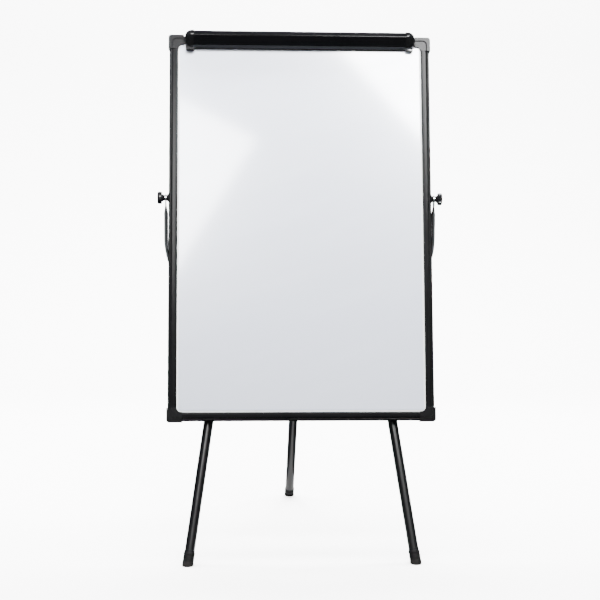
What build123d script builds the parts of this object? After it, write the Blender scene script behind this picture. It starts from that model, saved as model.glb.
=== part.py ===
# Flipchart easel: a framed writing board held by two clamped side pivots in a curved chromed
# yoke, carried on a folding tripod with telescopic legs, with a sprung paper clamp on top.
# Millimetres. X to the right seen from the front, Y away from the reader, Z up, floor at Z = 0.

import math
import os

from build123d import *

# ---- driving dimensions --------------------------------------------------------------------
FOOT_X = 252.8  # half the distance between the front feet
FOOT_Y_FRONT = -323.0
FOOT_Y_REAR = 320.8
HINGE_Z = 518.0  # height of the leg hinges
HINGE_X = 176.4  # front leg hinges, either side of the middle
HINGE_Y_FRONT = -161.7
HINGE_Y_REAR = -95.0

FRAME_W = 598.0  # across the side rails
FRAME_H = 880.0  # across the top and bottom rails
BOARD_TILT = 11.3  # lean of the writing surface, degrees from upright
BOARD_Y = -268.5  # front face of the frame at its lower edge
BOARD_Z = 311.5

RAIL_W = 20.0
RAIL_T = 18.0
RAIL_WALL = 1.6
RAIL_STEP_W = 5.2
RAIL_GROOVE_W = 2.8
RAIL_GROOVE_DEEP = 3.6
RAIL_STEP_DEEP = 2.0
SLOT_FRONT = 2.5  # thickness of the rail's front lip
SLOT_IN = 11.0  # the panel slot starts this far in from the outer edge
CAVITY_IN = 1.8
CAVITY_OUT = 9.4
CAVITY_TOP = 5.2

CORNER_X = 33.0  # reach of a corner piece along the top or bottom rail
CORNER_V = 30.0  # reach of a corner piece along a side rail
CORNER_PROUD = 2.5
CORNER_LIFT = 0.8
CORNER_R_OUT = 6.5
CORNER_R_IN = 9.0

PIVOT_V = 505.0  # tilt pivot up the board
PIVOT_W = -10.8
PIVOT_R = 4.0
YOKE_R = 4.75
YOKE_BORE = 3.25
YOKE_MID_X = 305.2  # middle line of the yoke's uprights
YOKE_BEND_Z = 714.75
YOKE_BEND_R = 180.0
EYE_X = 304.6  # inner face of the yoke's flattened ends
EYE_T = 2.5
YOKE_EYE_R = 8.0

TUBE_R = 11.0
TUBE_BORE = 9.6
STEM_R = 8.25
STEM_BORE = 7.0
FOOT_H = 28.0
FOOT_R = 12.6
RUN = 0.05  # radial running clearance
GAP = 0.3  # clearance between separate moving bodies

CLAMP_HALF = 243.0  # half length of the clamp bar between its end caps
CLAMP_END = 264.0  # outer end of the end caps
ROD_V = 3.0
ROD_W = 5.0
ROD_R = 2.0
BARREL_R = 3.6
BASE_HALF = 239.0
LUG_X = 231.0
LUG_HALF = 6.0
PEG_X = 140.0
PEG_V = -11.0

# ---- derived frames ------------------------------------------------------------------------
lean = math.radians(BOARD_TILT)
up_board = Vector(0, math.sin(lean), math.cos(lean))
front = Vector(0, -math.cos(lean), math.sin(lean))
board_origin = Vector(0, BOARD_Y, BOARD_Z)
BOARD = Plane(origin=board_origin, x_dir=(1, 0, 0), z_dir=front)


def on_board(x, v, w):
    """Point x across, v up the board from the lower rail's edge, w in front of its face."""
    return board_origin + Vector(x, 0, 0) + up_board * v + front * w


pivot = on_board(0, PIVOT_V, PIVOT_W)
# cross-section plane of the clamp: local x points to the front, local y up the board
CLAMP = Plane(origin=on_board(0, FRAME_H, 0), x_dir=front, z_dir=(-1, 0, 0))

foot_points = {
    "left": Vector(-FOOT_X, FOOT_Y_FRONT, 0),
    "right": Vector(FOOT_X, FOOT_Y_FRONT, 0),
    "rear": Vector(0, FOOT_Y_REAR, 0),
}
hinge_points = {
    "left": Vector(-HINGE_X, HINGE_Y_FRONT, HINGE_Z),
    "right": Vector(HINGE_X, HINGE_Y_FRONT, HINGE_Z),
    "rear": Vector(0, HINGE_Y_REAR, HINGE_Z),
}
leg_lean = math.atan2(HINGE_Y_FRONT - FOOT_Y_FRONT, HINGE_Z)
front_axis = Vector(0, -math.cos(leg_lean), math.sin(leg_lean))
hinge_axes = {"left": front_axis, "right": front_axis, "rear": Vector(1, 0, 0)}

parts = {}


def keep(name, builder):
    """Name a finished piece and hold it for export."""
    builder.part.label = name
    parts[name] = builder.part


# ---- panel ---------------------------------------------------------------------------------
CORE_MARGIN = SLOT_IN + 0.4
CORE_FRONT = -2.8
CORE_BACK = -15.6
SHEET_T = 0.5
SHEET_INSET = 4.0


def panel_layer(width, height, low, high):
    """Flat layer of the panel, centred on the board, between two depths."""
    with BuildPart() as layer:
        with BuildSketch(BOARD.offset(low)):
            with Locations((0, FRAME_H / 2)):
                Rectangle(width, height)
        extrude(amount=high - low)
    return layer


core_w = FRAME_W - 2 * CORE_MARGIN
core_h = FRAME_H - 2 * CORE_MARGIN
sheet_w = FRAME_W - 2 * RAIL_W - 2 * SHEET_INSET
sheet_h = FRAME_H - 2 * RAIL_W - 2 * SHEET_INSET
keep("board_core", panel_layer(core_w, core_h, CORE_BACK, CORE_FRONT))
keep("writing_sheet", panel_layer(sheet_w, sheet_h, CORE_FRONT, CORE_FRONT + SHEET_T))
keep("back_sheet", panel_layer(core_w, core_h, CORE_BACK - SHEET_T, CORE_BACK))


# ---- frame rails ---------------------------------------------------------------------------
INSERT_R = 5.4  # threaded insert that goes through a side rail's outer wall
cavity_mid = (CAVITY_IN + CAVITY_OUT) / 2
cavity_low = -RAIL_T + RAIL_WALL


def rail(start, inward, length, pivot_at=None):
    """Hollow rail extruded from start; inward points from its outer edge to the panel."""
    section = Plane(origin=start, x_dir=inward, z_dir=inward.cross(front))
    groove_end = RAIL_STEP_W + RAIL_GROOVE_W
    with BuildPart() as piece:
        with BuildSketch(section):
            with BuildLine():
                Polyline(
                    (0.8, -RAIL_T),
                    (RAIL_W, -RAIL_T),
                    (RAIL_W, -RAIL_T + RAIL_WALL),
                    (SLOT_IN, -RAIL_T + RAIL_WALL),
                    (SLOT_IN, -SLOT_FRONT),
                    (RAIL_W, -SLOT_FRONT),
                    (RAIL_W, -0.7),
                    (RAIL_W - 1.6, -0.5),
                    (RAIL_W - 2.0, 0),
                    (groove_end + 0.6, 0),
                    (groove_end, -0.6),
                    (groove_end, -RAIL_GROOVE_DEEP),
                    (RAIL_STEP_W, -RAIL_GROOVE_DEEP),
                    (RAIL_STEP_W, -RAIL_STEP_DEEP - 0.4),
                    (RAIL_STEP_W - 0.4, -RAIL_STEP_DEEP),
                    (1.0, -RAIL_STEP_DEEP),
                    (0, -RAIL_STEP_DEEP - 1.0),
                    (0, -RAIL_T + 0.8),
                    close=True,
                )
            make_face()
            with Locations((cavity_mid, (cavity_low - CAVITY_TOP) / 2)):
                Rectangle(CAVITY_OUT - CAVITY_IN, -CAVITY_TOP - cavity_low, mode=Mode.SUBTRACT)
        extrude(amount=length)
        if pivot_at is not None:
            with BuildSketch(Plane(origin=pivot_at, x_dir=(0, 1, 0), z_dir=inward)):
                Circle(INSERT_R + RUN)
            extrude(amount=2 * CAVITY_IN, both=True, mode=Mode.SUBTRACT)
    return piece


side_len = FRAME_H - 2 * CORNER_V
top_len = FRAME_W - 2 * CORNER_X
right_way = Vector(1, 0, 0)
left_way = Vector(-1, 0, 0)
half_w = FRAME_W / 2
left_pivot = on_board(-half_w, PIVOT_V, PIVOT_W)
right_pivot = on_board(half_w, PIVOT_V, PIVOT_W)
keep("rail_left", rail(on_board(-half_w, FRAME_H - CORNER_V, 0), right_way, side_len, left_pivot))
keep("rail_right", rail(on_board(half_w, CORNER_V, 0), left_way, side_len, right_pivot))
keep("rail_bottom", rail(on_board(-half_w + CORNER_X, 0, 0), up_board, top_len))
keep("rail_top", rail(on_board(half_w - CORNER_X, FRAME_H, 0), up_board * -1, top_len))


# ---- corner pieces -------------------------------------------------------------------------
CORNER_BACK = -RAIL_T - 0.4
CORNER_OVERLAP = 0.8  # the corner reaches this far past the rails' inner edges
GROOVE_DEEP = 1.3
GROOVE_BEND = 10.0  # outer radius of the groove round the corner
SPIGOT_LEN = 16.0
SPIGOT_ROOT = 2.0
SPIGOT_SLACK = 0.2
SCREW_R = 1.6
SCREW_LEN = 9.0
SCREW_HEAD_R = 3.0
SCREW_HEAD_H = 2.0
SCREW_V = 22.0  # screw in the side arm, down from the outer corner
SCREW_X = 24.0  # screw in the cross arm, in from the outer corner


def corner_point(side, across, along):
    """Board coordinates at two distances in from the frame's outer corner."""
    x = side[0] * (half_w - across)
    v = FRAME_H - along if side[1] > 0 else along
    return (x, v)


def corner_outline(side):
    """L-shaped outline of a corner piece, rounded outside and inside."""
    arm = RAIL_W + CORNER_OVERLAP
    with BuildSketch(BOARD.offset(CORNER_BACK)) as outline:
        with BuildLine():
            Polyline(
                corner_point(side, -CORNER_PROUD, -CORNER_PROUD),
                corner_point(side, -CORNER_PROUD, CORNER_V),
                corner_point(side, arm, CORNER_V),
                corner_point(side, arm, arm),
                corner_point(side, CORNER_X, arm),
                corner_point(side, CORNER_X, -CORNER_PROUD),
                close=True,
            )
        make_face()
        outer = corner_point(side, -CORNER_PROUD, -CORNER_PROUD)
        fillet(outline.vertices().sort_by_distance((*outer, 0))[0], radius=CORNER_R_OUT)
        inner = corner_point(side, arm, arm)
        fillet(outline.vertices().sort_by_distance((*inner, 0))[0], radius=CORNER_R_IN)
    return outline.sketch


def corner_groove(side):
    """Line of the rails' groove carried round the corner."""
    near = RAIL_STEP_W
    far = RAIL_STEP_W + RAIL_GROOVE_W
    with BuildSketch(BOARD.offset(CORNER_LIFT - GROOVE_DEEP)) as groove:
        with BuildLine():
            Polyline(
                corner_point(side, near, CORNER_V + 1),
                corner_point(side, near, near),
                corner_point(side, CORNER_X + 1, near),
                corner_point(side, CORNER_X + 1, far),
                corner_point(side, far, far),
                corner_point(side, far, CORNER_V + 1),
                close=True,
            )
        make_face()
        outer = corner_point(side, near, near)
        fillet(groove.vertices().sort_by_distance((*outer, 0))[0], radius=GROOVE_BEND)
        inner = corner_point(side, far, far)
        bend_in = GROOVE_BEND - RAIL_GROOVE_W
        fillet(groove.vertices().sort_by_distance((*inner, 0))[0], radius=bend_in)
    return groove.sketch


def corner_spigots(side):
    """Two plugs that fill the hollows of the side rail and of the cross rail."""
    width = CAVITY_OUT - CAVITY_IN - 2 * SPIGOT_SLACK
    length = SPIGOT_LEN + SPIGOT_ROOT
    middle = SPIGOT_LEN / 2 - SPIGOT_ROOT / 2
    with BuildSketch(BOARD.offset(cavity_low + SPIGOT_SLACK)) as spigots:
        with Locations(corner_point(side, cavity_mid, CORNER_V + middle)):
            Rectangle(width, length)
        with Locations(corner_point(side, CORNER_X + middle, cavity_mid)):
            Rectangle(length, width)
    return spigots.sketch


def corner_screw_spots(side):
    """Two screws at the back of a corner piece, in line with its spigots."""
    return [corner_point(side, cavity_mid, SCREW_V), corner_point(side, SCREW_X, cavity_mid)]


def corner_piece(side):
    """Moulded corner with spigots that plug into the rails and a slot for the panel."""
    slot_reach = 2 * CORNER_X
    with BuildPart() as piece:
        extrude(corner_outline(side), amount=CORNER_LIFT - CORNER_BACK)
        top_face = piece.faces().sort_by(Axis(board_origin, front))[-1]
        fillet(top_face.edges(), radius=0.7)
        with BuildSketch(BOARD.offset(-RAIL_T + RAIL_WALL)):
            slot_mid = SLOT_IN + slot_reach / 2
            with Locations(corner_point(side, slot_mid, slot_mid)):
                Rectangle(slot_reach, slot_reach)
        extrude(amount=RAIL_T - RAIL_WALL - SLOT_FRONT, mode=Mode.SUBTRACT)
        extrude(corner_groove(side), amount=2 * GROOVE_DEEP, mode=Mode.SUBTRACT)
        extrude(corner_spigots(side), amount=-CAVITY_TOP - cavity_low - 2 * SPIGOT_SLACK)
        with BuildSketch(BOARD.offset(CORNER_BACK)):
            with Locations(*corner_screw_spots(side)):
                Circle(SCREW_R)
        extrude(amount=SCREW_LEN + 0.5, mode=Mode.SUBTRACT)
    return piece


corners = {
    "corner_top_left": (-1, 1),
    "corner_top_right": (1, 1),
    "corner_bottom_left": (-1, -1),
    "corner_bottom_right": (1, -1),
}
for corner_name, corner_side in corners.items():
    keep(corner_name, corner_piece(corner_side))

RECESS_LEN = 2.6  # cross recess in a screw's head
RECESS_W = 0.7
with BuildPart() as corner_screws:
    for corner_side in corners.values():
        with BuildSketch(BOARD.offset(CORNER_BACK)):
            with Locations(*corner_screw_spots(corner_side)):
                Circle(SCREW_R)
        extrude(amount=SCREW_LEN)
        with BuildSketch(BOARD.offset(CORNER_BACK)):
            with Locations(*corner_screw_spots(corner_side)):
                Circle(SCREW_HEAD_R)
        extrude(amount=-SCREW_HEAD_H, taper=20)
        with BuildSketch(BOARD.offset(CORNER_BACK - SCREW_HEAD_H)):
            with Locations(*corner_screw_spots(corner_side)):
                Rectangle(RECESS_LEN, RECESS_W)
                Rectangle(RECESS_W, RECESS_LEN)
        extrude(amount=1.2, mode=Mode.SUBTRACT)
keep("corner_screws", corner_screws)


# ---- tilt pivots: threaded inserts, studs and knobs ----------------------------------------
SPACER_LEN = EYE_X - GAP - half_w
INSERT_DEEP = CAVITY_OUT - 0.3
KNOB_R = 14.0
KNOB_T = 10.3
NECK_LEN = 7.0
NECK_R = 8.7
NECK_TAPER = 24.0
KNOB_CROWN = 3.0  # knob's material beyond the stud's end
SPACER_R = 10.0
SPACER_TAPER = 40.0
FLUTE_COUNT = 9
FLUTE_R = 3.0


def pivot_plane(x, way):
    """Plane across the pivot axis at x, facing along way."""
    return Plane(origin=(x, pivot.Y, pivot.Z), x_dir=(0, 1, 0), z_dir=(way, 0, 0))


def pivot_insert(way):
    """Threaded insert in the side rail with a conical spacer that meets the yoke."""
    with BuildPart() as piece:
        with BuildSketch(pivot_plane(way * half_w, way)):
            Circle(INSERT_R)
        extrude(amount=-INSERT_DEEP)
        with BuildSketch(pivot_plane(way * half_w, way)):
            Circle(SPACER_R)
        extrude(amount=SPACER_LEN, taper=SPACER_TAPER)
        with BuildSketch(pivot_plane(way * half_w, way)):
            Circle(PIVOT_R + RUN)
        extrude(amount=30, both=True, mode=Mode.SUBTRACT)
    return piece


def pivot_stud(way):
    """Steel stud moulded into the knob, passing through the yoke into the insert."""
    inner = half_w - INSERT_DEEP + 0.5
    outer = EYE_X + EYE_T + GAP + NECK_LEN + KNOB_T - KNOB_CROWN
    with BuildPart() as piece:
        with BuildSketch(pivot_plane(way * inner, way)):
            Circle(PIVOT_R)
        extrude(amount=outer - inner)
        end_face = piece.faces().sort_by(Axis.X)[0 if way > 0 else -1]
        chamfer(end_face.edges(), length=0.7)
    return piece


def knob(way):
    """Fluted clamping knob with a conical neck that bears on the yoke."""
    neck_start = EYE_X + EYE_T + GAP
    cap_start = neck_start + NECK_LEN
    with BuildPart() as piece:
        with BuildSketch(pivot_plane(way * cap_start, way)):
            Circle(KNOB_R)
            with PolarLocations(KNOB_R + FLUTE_R * 0.62, FLUTE_COUNT):
                Circle(FLUTE_R, mode=Mode.SUBTRACT)
        extrude(amount=KNOB_T)
        cap_face = piece.faces().sort_by(Axis.X)[-1 if way > 0 else 0]
        fillet(cap_face.edges(), radius=1.6)
        with BuildSketch(pivot_plane(way * (cap_start + 0.1), way)):
            Circle(NECK_R)
        extrude(amount=-NECK_LEN - 0.1, taper=NECK_TAPER)
        stud_end = KNOB_T - KNOB_CROWN
        with BuildSketch(pivot_plane(way * (neck_start - 1.0), way)):
            Circle(PIVOT_R)
        extrude(amount=1.0 + NECK_LEN + stud_end, mode=Mode.SUBTRACT)
    return piece


for side_name, side_x in (("left", -1), ("right", 1)):
    keep("pivot_insert_" + side_name, pivot_insert(side_x))
    keep("pivot_stud_" + side_name, pivot_stud(side_x))
    keep("knob_" + side_name, knob(side_x))

# ---- rest buffers on the lower rail --------------------------------------------------------
BUFFER_X = 206.0
BUFFER_V = 10.0
BUFFER_LEN = 11.6
BUFFER_R = 8.0
with BuildPart() as rest_buffers:
    for side_x in (-1, 1):
        with BuildSketch(BOARD.offset(-RAIL_T)):
            with Locations((side_x * BUFFER_X, BUFFER_V)):
                Circle(BUFFER_R)
        extrude(amount=-BUFFER_LEN, taper=4)
keep("rest_buffers", rest_buffers)

# ---- yoke ----------------------------------------------------------------------------------
FLAT_LEN = 15.0  # flat part of an end below the pivot
SWAGE_LEN = 20.0  # round tube changes to flat over this length
YOKE_BOLT_X = 60.0
BOLT_R = 2.5
yoke_mid_z = YOKE_BEND_Z - YOKE_BEND_R
yoke_bottom = yoke_mid_z - YOKE_R
yoke_top = yoke_mid_z + YOKE_R
bend_x = YOKE_MID_X - YOKE_BEND_R
flat_z = pivot.Z - FLAT_LEN
tube_end_z = flat_z - SWAGE_LEN
with BuildPart() as yoke:
    with BuildLine(Plane(origin=(0, pivot.Y, 0), x_dir=(1, 0, 0), z_dir=(0, -1, 0))) as middle_line:
        Line((-YOKE_MID_X, tube_end_z), (-YOKE_MID_X, YOKE_BEND_Z))
        CenterArc((-bend_x, YOKE_BEND_Z), YOKE_BEND_R, 180, 90)
        Line((-bend_x, yoke_mid_z), (bend_x, yoke_mid_z))
        CenterArc((bend_x, YOKE_BEND_Z), YOKE_BEND_R, -90, 90)
        Line((YOKE_MID_X, YOKE_BEND_Z), (YOKE_MID_X, tube_end_z))
    with BuildSketch(Plane(origin=(-YOKE_MID_X, pivot.Y, tube_end_z), z_dir=(0, 0, -1))):
        Circle(YOKE_R)
        Circle(YOKE_BORE, mode=Mode.SUBTRACT)
    sweep(path=middle_line.line)
    for way in (-1, 1):
        with BuildSketch(Plane(origin=(way * YOKE_MID_X, pivot.Y, tube_end_z))):
            Circle(YOKE_R)
        with BuildSketch(Plane(origin=(way * (EYE_X + EYE_T / 2), pivot.Y, flat_z))):
            Ellipse(EYE_T / 2, YOKE_EYE_R - 0.5)
        loft()
        with BuildSketch(pivot_plane(way * EYE_X, way)):
            Circle(YOKE_EYE_R)
            with Locations((0, -way * (FLAT_LEN + 1) / 2)):
                Rectangle(2 * YOKE_EYE_R - 1, FLAT_LEN + 1)
            Circle(PIVOT_R + RUN, mode=Mode.SUBTRACT)
        extrude(amount=EYE_T)
    with BuildSketch(Plane.XY.offset(yoke_bottom - 1)):
        with Locations((-YOKE_BOLT_X, pivot.Y), (YOKE_BOLT_X, pivot.Y)):
            Circle(BOLT_R + RUN)
    extrude(amount=2 * YOKE_R + 2, mode=Mode.SUBTRACT)
keep("yoke", yoke)

# ---- head beam -----------------------------------------------------------------------------
BEAM_HALF = 136.0
BEAM_W = 30.0
BEAM_H = 20.0
BEAM_WALL = 2.0
beam_y = -156.0
beam_low = yoke_bottom - BEAM_H
beam_z = beam_low + BEAM_H / 2
with BuildPart() as head_beam:
    with BuildSketch(Plane(origin=(0, beam_y, beam_z), x_dir=(0, 1, 0), z_dir=(1, 0, 0))):
        RectangleRounded(BEAM_W, BEAM_H, 2.5)
        Rectangle(BEAM_W - 2 * BEAM_WALL, BEAM_H - 2 * BEAM_WALL, mode=Mode.SUBTRACT)
    extrude(amount=BEAM_HALF, both=True)
    with BuildSketch(Plane.XY.offset(beam_low - 1)):
        with Locations((-YOKE_BOLT_X, pivot.Y), (YOKE_BOLT_X, pivot.Y)):
            Circle(BOLT_R + RUN)
    extrude(amount=BEAM_H + 2, mode=Mode.SUBTRACT)
keep("head_beam", head_beam)

HEX_R = 4.62
HEX_H = 3.5
with BuildPart() as yoke_bolts:
    for side_x in (-1, 1):
        at_xy = (side_x * YOKE_BOLT_X, pivot.Y)
        with BuildSketch(Plane.XY.offset(yoke_top)):
            with Locations(at_xy):
                RegularPolygon(HEX_R, 6)
        extrude(amount=HEX_H)
        with BuildSketch(Plane.XY.offset(yoke_top)):
            with Locations(at_xy):
                Circle(BOLT_R)
        extrude(amount=-2 * YOKE_R - BEAM_H - HEX_H - 3)
        with BuildSketch(Plane.XY.offset(beam_low)):
            with Locations(at_xy):
                RegularPolygon(HEX_R, 6)
        extrude(amount=-HEX_H - 1)
keep("yoke_bolts", yoke_bolts)

# ---- leg hinge brackets --------------------------------------------------------------------
EAR_R = 13.0
EAR_HALF = 11.0
SLOT_HALF = 6.3
PIN_R = 4.0
PIN_HEAD = 2.5
BRACKET_ROOT = 6.0  # the spigot starts this far inside the casting
BRACKET_PLUG = 30.0
PAD_HALF = 28.0  # rear bracket's pad against the beam
PAD_T = 4.0


def front_bracket(side):
    """Cast bracket at a beam end: spigot in the beam, two ears round the leg's eye."""
    way = -1 if side == "left" else 1
    at = hinge_points[side]
    ear_plane = Plane(origin=at, x_dir=(1, 0, 0), z_dir=front_axis)
    web = HINGE_X - BEAM_HALF
    with BuildPart() as piece:
        with BuildSketch(ear_plane.offset(-EAR_HALF)):
            Circle(EAR_R)
            with Locations((-way * web / 2, 0)):
                Rectangle(web, 2 * EAR_R - 6)
        extrude(amount=2 * EAR_HALF)
        with BuildSketch(ear_plane.offset(-SLOT_HALF)):
            with Locations((way * 6, 0)):
                Rectangle(36, 4 * EAR_R)
        extrude(amount=2 * SLOT_HALF, mode=Mode.SUBTRACT)
        with BuildSketch(ear_plane.offset(-2 * EAR_HALF)):
            Circle(PIN_R)
        extrude(amount=4 * EAR_HALF, mode=Mode.SUBTRACT)
        # the spigot inside the beam
        root = (way * (BEAM_HALF + BRACKET_ROOT), beam_y, beam_z)
        inside_w = BEAM_W - 2 * BEAM_WALL - GAP
        inside_h = BEAM_H - 2 * BEAM_WALL - GAP
        with BuildSketch(Plane(origin=root, x_dir=(0, 1, 0), z_dir=(-way, 0, 0))):
            Rectangle(inside_w, inside_h)
        extrude(amount=BRACKET_PLUG)
    return piece


def rear_bracket():
    """Bracket on the back of the beam with two ears round the rear leg's eye."""
    at = hinge_points["rear"]
    back_y = beam_y + BEAM_W / 2
    side_plane = Plane(origin=(0, 0, 0), x_dir=(0, 1, 0), z_dir=(1, 0, 0))
    with BuildPart() as piece:
        with BuildSketch(side_plane):
            with Locations((at.Y, at.Z)):
                Circle(EAR_R)
            with Locations(((back_y + at.Y) / 2, at.Z + 2)):
                Rectangle(at.Y - back_y, 18)
        extrude(amount=EAR_HALF, both=True)
        with BuildSketch(side_plane):
            with Locations((back_y + PAD_T / 2, beam_z)):
                Rectangle(PAD_T, BEAM_H)
        extrude(amount=PAD_HALF, both=True)
        with BuildSketch(side_plane):
            with Locations((at.Y + 4, at.Z)):
                Rectangle(34, 60)
        extrude(amount=SLOT_HALF, both=True, mode=Mode.SUBTRACT)
        with BuildSketch(side_plane):
            with Locations((at.Y, at.Z)):
                Circle(PIN_R)
        extrude(amount=30, both=True, mode=Mode.SUBTRACT)
    return piece


keep("bracket_left", front_bracket("left"))
keep("bracket_right", front_bracket("right"))
keep("bracket_rear", rear_bracket())

with BuildPart() as hinge_pins:
    for side, at in hinge_points.items():
        cross_plane = Plane(origin=at, z_dir=hinge_axes[side])
        with BuildSketch(cross_plane.offset(-EAR_HALF)):
            Circle(PIN_R)
        extrude(amount=2 * EAR_HALF)
        for end in (-1, 1):
            with BuildSketch(cross_plane.offset(end * EAR_HALF)):
                Circle(PIN_R + PIN_HEAD)
            extrude(amount=end * PIN_HEAD, taper=25)
keep("hinge_pins", hinge_pins)

# ---- legs ----------------------------------------------------------------------------------
EYE_R = 11.0
EYE_HALF = 6.0
COLLAR_BACK = 18.0  # distance from the hinge pin to the top of the leg tube
PLUG_LEN = 30.0
BUSH_H = 5.0
BUSH_RIM = 0.3
BUSH_INSIDE = 20.0  # length of the bush inside the outer tube
PRESSED = 0.02  # radial room of a pressed-in fitting
LEG_SEAM = 0.4
FOOT_LIP = 0.7  # the cup's upper edge stands this far outside the tube
FOOT_SPARE = 14.0
STEM_START = 10.0
STEM_PLUG_IN = 14.0
STEM_PLUG_OUT = 24.0
STEM_PLUG_SLOT = 2.0
STEM_LENGTHS = {"left": 455.0, "right": 455.0, "rear": 560.0}


def leg_frame(side):
    """Plane at the foot with its normal pointing up the leg, and the leg's length."""
    foot = foot_points[side]
    reach = hinge_points[side] - foot
    return Plane(origin=foot, z_dir=reach.normalized()), reach.length


def ring(plane, low, high, outer, bore):
    """Round sleeve along the leg between two distances from the foot."""
    with BuildPart() as piece:
        with BuildSketch(plane.offset(low)):
            Circle(outer)
            if bore > 0:
                Circle(bore, mode=Mode.SUBTRACT)
        extrude(amount=high - low)
    return piece


def leg_tube(side):
    """Outer tube of a leg."""
    plane, length = leg_frame(side)
    return ring(plane, FOOT_H + LEG_SEAM + BUSH_H, length - COLLAR_BACK, TUBE_R, TUBE_BORE)


def leg_bush(side):
    """Guide bush pressed into the lower end of the outer tube."""
    plane, length = leg_frame(side)
    low = FOOT_H + LEG_SEAM
    with BuildPart() as piece:
        with BuildSketch(plane.offset(low)):
            Circle(TUBE_R + BUSH_RIM)
        extrude(amount=BUSH_H)
        with BuildSketch(plane.offset(low)):
            Circle(TUBE_BORE - PRESSED)
        extrude(amount=BUSH_H + BUSH_INSIDE)
        with BuildSketch(plane.offset(low - 1)):
            Circle(STEM_R + RUN)
        extrude(amount=BUSH_H + BUSH_INSIDE + 2, mode=Mode.SUBTRACT)
    return piece


def leg_knuckle(side):
    """End fitting: an eye on the hinge pin, a collar and a plug in the tube."""
    plane, length = leg_frame(side)
    eye_plane = Plane(origin=hinge_points[side], x_dir=plane.z_dir * -1, z_dir=hinge_axes[side])
    with BuildPart() as piece:
        with BuildSketch(eye_plane.offset(-EYE_HALF)):
            Circle(EYE_R)
            with Locations((COLLAR_BACK / 2, 0)):
                Rectangle(COLLAR_BACK, 14)
        extrude(amount=2 * EYE_HALF)
        with BuildSketch(plane.offset(length - COLLAR_BACK)):
            Circle(TUBE_R)
        extrude(amount=3)
        with BuildSketch(plane.offset(length - COLLAR_BACK)):
            Circle(TUBE_BORE - PRESSED)
        extrude(amount=-PLUG_LEN)
        with BuildSketch(eye_plane.offset(-EYE_R)):
            Circle(PIN_R + RUN)
        extrude(amount=2 * EYE_R, mode=Mode.SUBTRACT)
    return piece


def leg_stem(side):
    """Inner tube that slides out of the leg."""
    plane, length = leg_frame(side)
    return ring(plane, STEM_START, STEM_START + STEM_LENGTHS[side], STEM_R, STEM_BORE)


def leg_plug(side):
    """Slotted friction plug on the top of the inner tube, running in the outer tube."""
    plane, length = leg_frame(side)
    top = STEM_START + STEM_LENGTHS[side]
    with BuildPart() as piece:
        with BuildSketch(plane.offset(top - STEM_PLUG_IN)):
            Circle(STEM_BORE - PRESSED)
        extrude(amount=STEM_PLUG_IN + 1)
        with BuildSketch(plane.offset(top)):
            Circle(TUBE_BORE - RUN)
        extrude(amount=STEM_PLUG_OUT)
        with BuildSketch(plane.offset(top + STEM_PLUG_OUT / 2)):
            Rectangle(STEM_PLUG_SLOT, 2 * TUBE_R)
        extrude(amount=STEM_PLUG_OUT, mode=Mode.SUBTRACT)
    return piece


def leg_foot(side):
    """Rubber cup on the inner tube, cut flat where it meets the floor."""
    plane, length = leg_frame(side)
    foot = foot_points[side]
    narrowing = math.degrees(math.atan2(FOOT_R - TUBE_R - FOOT_LIP, FOOT_H + FOOT_SPARE))
    with BuildPart() as piece:
        with BuildSketch(plane.offset(-FOOT_SPARE)):
            Circle(FOOT_R)
        extrude(amount=FOOT_H + FOOT_SPARE, taper=narrowing)
        # the floor cuts off the spare length
        with BuildSketch(Plane.XY):
            with Locations((foot.X, foot.Y)):
                Rectangle(6 * FOOT_R, 6 * FOOT_R)
        extrude(amount=-3 * FOOT_SPARE, mode=Mode.SUBTRACT)
        sole = piece.faces().filter_by(Axis.Z).sort_by(Axis.Z)[0]
        fillet(sole.edges(), radius=1.0)
        with BuildSketch(plane.offset(STEM_START)):
            Circle(STEM_R)
        extrude(amount=FOOT_H, mode=Mode.SUBTRACT)
    return piece


for side in foot_points:
    keep("leg_tube_" + side, leg_tube(side))
    keep("leg_bush_" + side, leg_bush(side))
    keep("leg_knuckle_" + side, leg_knuckle(side))
    keep("leg_stem_" + side, leg_stem(side))
    keep("leg_plug_" + side, leg_plug(side))
    keep("leg_foot_" + side, leg_foot(side))

# ---- paper clamp ---------------------------------------------------------------------------
NOTCH_HALF = 13.0
NOTCH_X = 225.0
BASE_T = 5.0
BASE_LOW = -20.0
BASE_HIGH = -2.0
T_NECK = 5.0
T_FOOT = 10.0
BASE_SCREWS = (-200.0, -67.0, 67.0, 200.0)
BASE_SCREW_V = -18.0
BASE_SCREW_R = 1.5


with BuildPart() as clamp_base:
    with BuildSketch(CLAMP):
        with Locations((BASE_T / 2, (BASE_LOW + BASE_HIGH) / 2)):
            Rectangle(BASE_T, BASE_HIGH - BASE_LOW)
        # T-slot for the pad hooks
        with Locations((2.2, PEG_V)):
            Rectangle(2.0, T_FOOT, mode=Mode.SUBTRACT)
        with Locations((4.1, PEG_V)):
            Rectangle(2.0, T_NECK, mode=Mode.SUBTRACT)
    extrude(amount=BASE_HALF, both=True)
    for lug_x in (-LUG_X, 0.0, LUG_X):
        with BuildSketch(CLAMP.offset(-lug_x)):
            with Locations((ROD_W, ROD_V)):
                Circle(BARREL_R)
            with Locations((ROD_W - 1.8, (ROD_V + BASE_HIGH - 1) / 2)):
                Rectangle(3.6, ROD_V - BASE_HIGH + 1)
        extrude(amount=LUG_HALF, both=True)
    with BuildSketch(CLAMP):
        with Locations((ROD_W, ROD_V)):
            Circle(ROD_R)
    extrude(amount=BASE_HALF + 1, both=True, mode=Mode.SUBTRACT)
    for screw_x in BASE_SCREWS:
        with BuildSketch(BOARD):
            with Locations((screw_x, FRAME_H + BASE_SCREW_V)):
                Circle(BASE_SCREW_R)
        extrude(amount=BASE_T, mode=Mode.SUBTRACT)
keep("clamp_base", clamp_base)

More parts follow.
